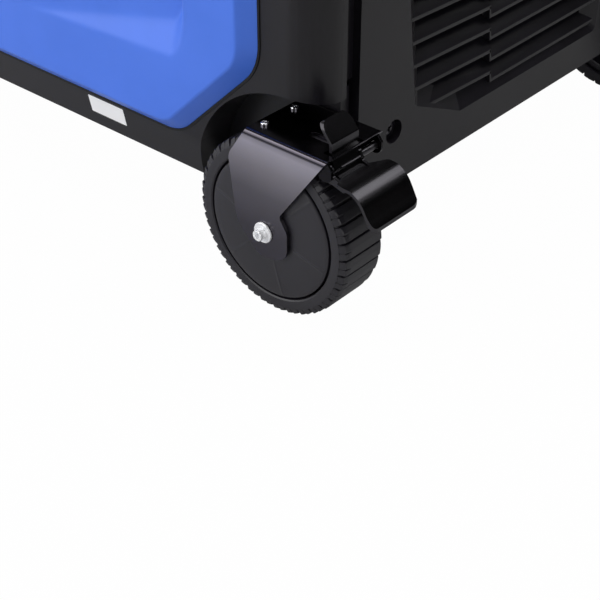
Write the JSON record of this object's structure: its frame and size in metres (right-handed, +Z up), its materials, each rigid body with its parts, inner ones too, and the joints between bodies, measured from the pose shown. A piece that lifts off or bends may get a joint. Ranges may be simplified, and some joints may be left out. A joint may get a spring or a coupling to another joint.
{
  "type": "portable generator",
  "caption": "Closed inverter generator with bevelled side panels, a louvred end, two braked wheels, two feet and a folding pull handle.",
  "frame": {"origin": "centre of the bounding box on the floor, under the machine", "axes": "+X runs along the body towards the wheels and the louvred end, -X to the control end and pull handle, +Z up, -Y the left side with the wheels at the right"},
  "size_m": [0.8144, 0.586, 0.6093],
  "materials": {
    "shell": "fine-textured black moulding",
    "panel": "satin blue moulding",
    "rubber": "matt black rubber",
    "tyre": "matt black tread rubber",
    "hub": "satin black moulding",
    "black_steel": "gloss black powder coat",
    "zinc": "bright zinc plate",
    "cast_alloy": "as cast",
    "iron": "heat-darkened steel",
    "copper": "lacquered winding",
    "tank": "blow-moulded black",
    "red": "glossy red",
    "black_gloss": "glossy black",
    "glass": "dark display window",
    "fascia": "satin grey moulding",
    "outlet": "satin black moulding",
    "foam": "closed-cell foam"
  },
  "bodies": {
    "frame": {"side_frame_left": "shell", "side_frame_right": "shell", "side_panel_left": "panel", "side_panel_right": "panel", "end_panel": "shell", "front_panel": "shell", "top_cover": "shell", "base_tray": "black_steel", "front_foot_left": "rubber", "front_foot_right": "rubber", "wheel_bracket_left": "black_steel", "wheel_bracket_right": "black_steel", "brake_pin_left": "zinc", "brake_pin_right": "zinc", "brake_spring_left": "zinc", "brake_spring_right": "zinc", "axle_bolt_left": "zinc", "axle_bolt_right": "zinc", "axle_nut_left": "zinc", "axle_nut_right": "zinc", "crankcase": "cast_alloy", "cylinder": "cast_alloy", "rocker_cover": "black_steel", "engine_mount_front": "rubber", "engine_mount_rear": "rubber", "alternator_stator": "copper", "muffler": "iron", "exhaust_outlet": "iron", "fuel_tank": "tank", "air_cleaner": "shell", "carburettor": "cast_alloy", "inverter_module": "cast_alloy", "battery": "outlet", "control_fascia": "fascia", "display": "glass", "duplex_outlet_left": "outlet", "duplex_outlet_right": "outlet", "locking_outlet": "outlet", "ground_terminal": "zinc", "handle_bracket_left": "black_steel", "handle_bracket_right": "black_steel"},
    "wheel_left": {"tyre_left": "tyre", "wheel_hub_left": "hub"},
    "wheel_right": {"tyre_right": "tyre", "wheel_hub_right": "hub"},
    "brake_left": {"brake_pedal_left": "black_steel"},
    "brake_right": {"brake_pedal_right": "black_steel"},
    "rotor": {"alternator_rotor": "iron", "cooling_fan": "shell"},
    "tank_cap": {"fuel_cap": "shell"},
    "starter": {"start_button": "red"},
    "engine_rocker": {"engine_switch": "red"},
    "eco_rocker": {"eco_switch": "black_gloss"},
    "selector": {"selector_knob": "black_gloss"},
    "socket_cover": {"outlet_cover": "rubber"},
    "reset_upper": {"breaker_upper": "black_gloss"},
    "reset_lower": {"breaker_lower": "black_gloss"},
    "handle": {"pull_handle": "black_steel", "handle_grip": "foam"}
  },
  "joints": [
    {"name": "wheel_left_spin", "type": "hinge", "parent": "frame", "child": "wheel_left", "pos_m": [0.30435, -0.2545, 0.075], "axis": [0, 1, 0], "continuous": true},
    {"name": "wheel_right_spin", "type": "hinge", "parent": "frame", "child": "wheel_right", "pos_m": [0.30435, 0.2545, 0.075], "axis": [0, 1, 0], "continuous": true},
    {"name": "brake_left_rock", "type": "hinge", "parent": "frame", "child": "brake_left", "pos_m": [0.36085, -0.261, 0.1455], "axis": [0, 1, 0], "range_deg": [0, 12]},
    {"name": "brake_right_rock", "type": "hinge", "parent": "frame", "child": "brake_right", "pos_m": [0.36085, 0.261, 0.1455], "axis": [0, 1, 0], "range_deg": [0, 12]},
    {"name": "rotor_spin", "type": "hinge", "parent": "frame", "child": "rotor", "pos_m": [-0.10965, 0, 0.24], "axis": [1, 0, 0], "continuous": true},
    {"name": "cap_turn", "type": "hinge", "parent": "frame", "child": "tank_cap", "pos_m": [-0.13965, 0, 0.595], "axis": [0, 0, 1], "range_deg": [0, 90]},
    {"name": "start_press", "type": "slide", "parent": "frame", "child": "starter", "axis": [1, 0, 0], "range_m": [0, 0.003], "stiffness_N_per_m": 300, "springref_m": -0.001},
    {"name": "engine_switch_rock", "type": "hinge", "parent": "frame", "child": "engine_rocker", "pos_m": [-0.35535, 0.034, 0.458], "axis": [0, 1, 0], "range_deg": [0, 14]},
    {"name": "eco_switch_rock", "type": "hinge", "parent": "frame", "child": "eco_rocker", "pos_m": [-0.35535, 0.076, 0.458], "axis": [0, 1, 0], "range_deg": [0, 14]},
    {"name": "selector_turn", "type": "hinge", "parent": "frame", "child": "selector", "pos_m": [-0.35535, 0.122, 0.452], "axis": [1, 0, 0], "range_deg": [0, 90]},
    {"name": "cover_swing", "type": "hinge", "parent": "frame", "child": "socket_cover", "pos_m": [-0.36335, 0.042, 0.386], "axis": [0, 1, 0], "range_deg": [0, 110]},
    {"name": "reset_upper_press", "type": "slide", "parent": "frame", "child": "reset_upper", "axis": [1, 0, 0], "range_m": [0, 0.003], "stiffness_N_per_m": 300, "springref_m": -0.001},
    {"name": "reset_lower_press", "type": "slide", "parent": "frame", "child": "reset_lower", "axis": [1, 0, 0], "range_m": [0, 0.003], "stiffness_N_per_m": 300, "springref_m": -0.001},
    {"name": "handle_swing", "type": "hinge", "parent": "frame", "child": "handle", "pos_m": [-0.39365, 0, 0.238], "axis": [0, 1, 0], "range_deg": [0, 100]}
  ]
}
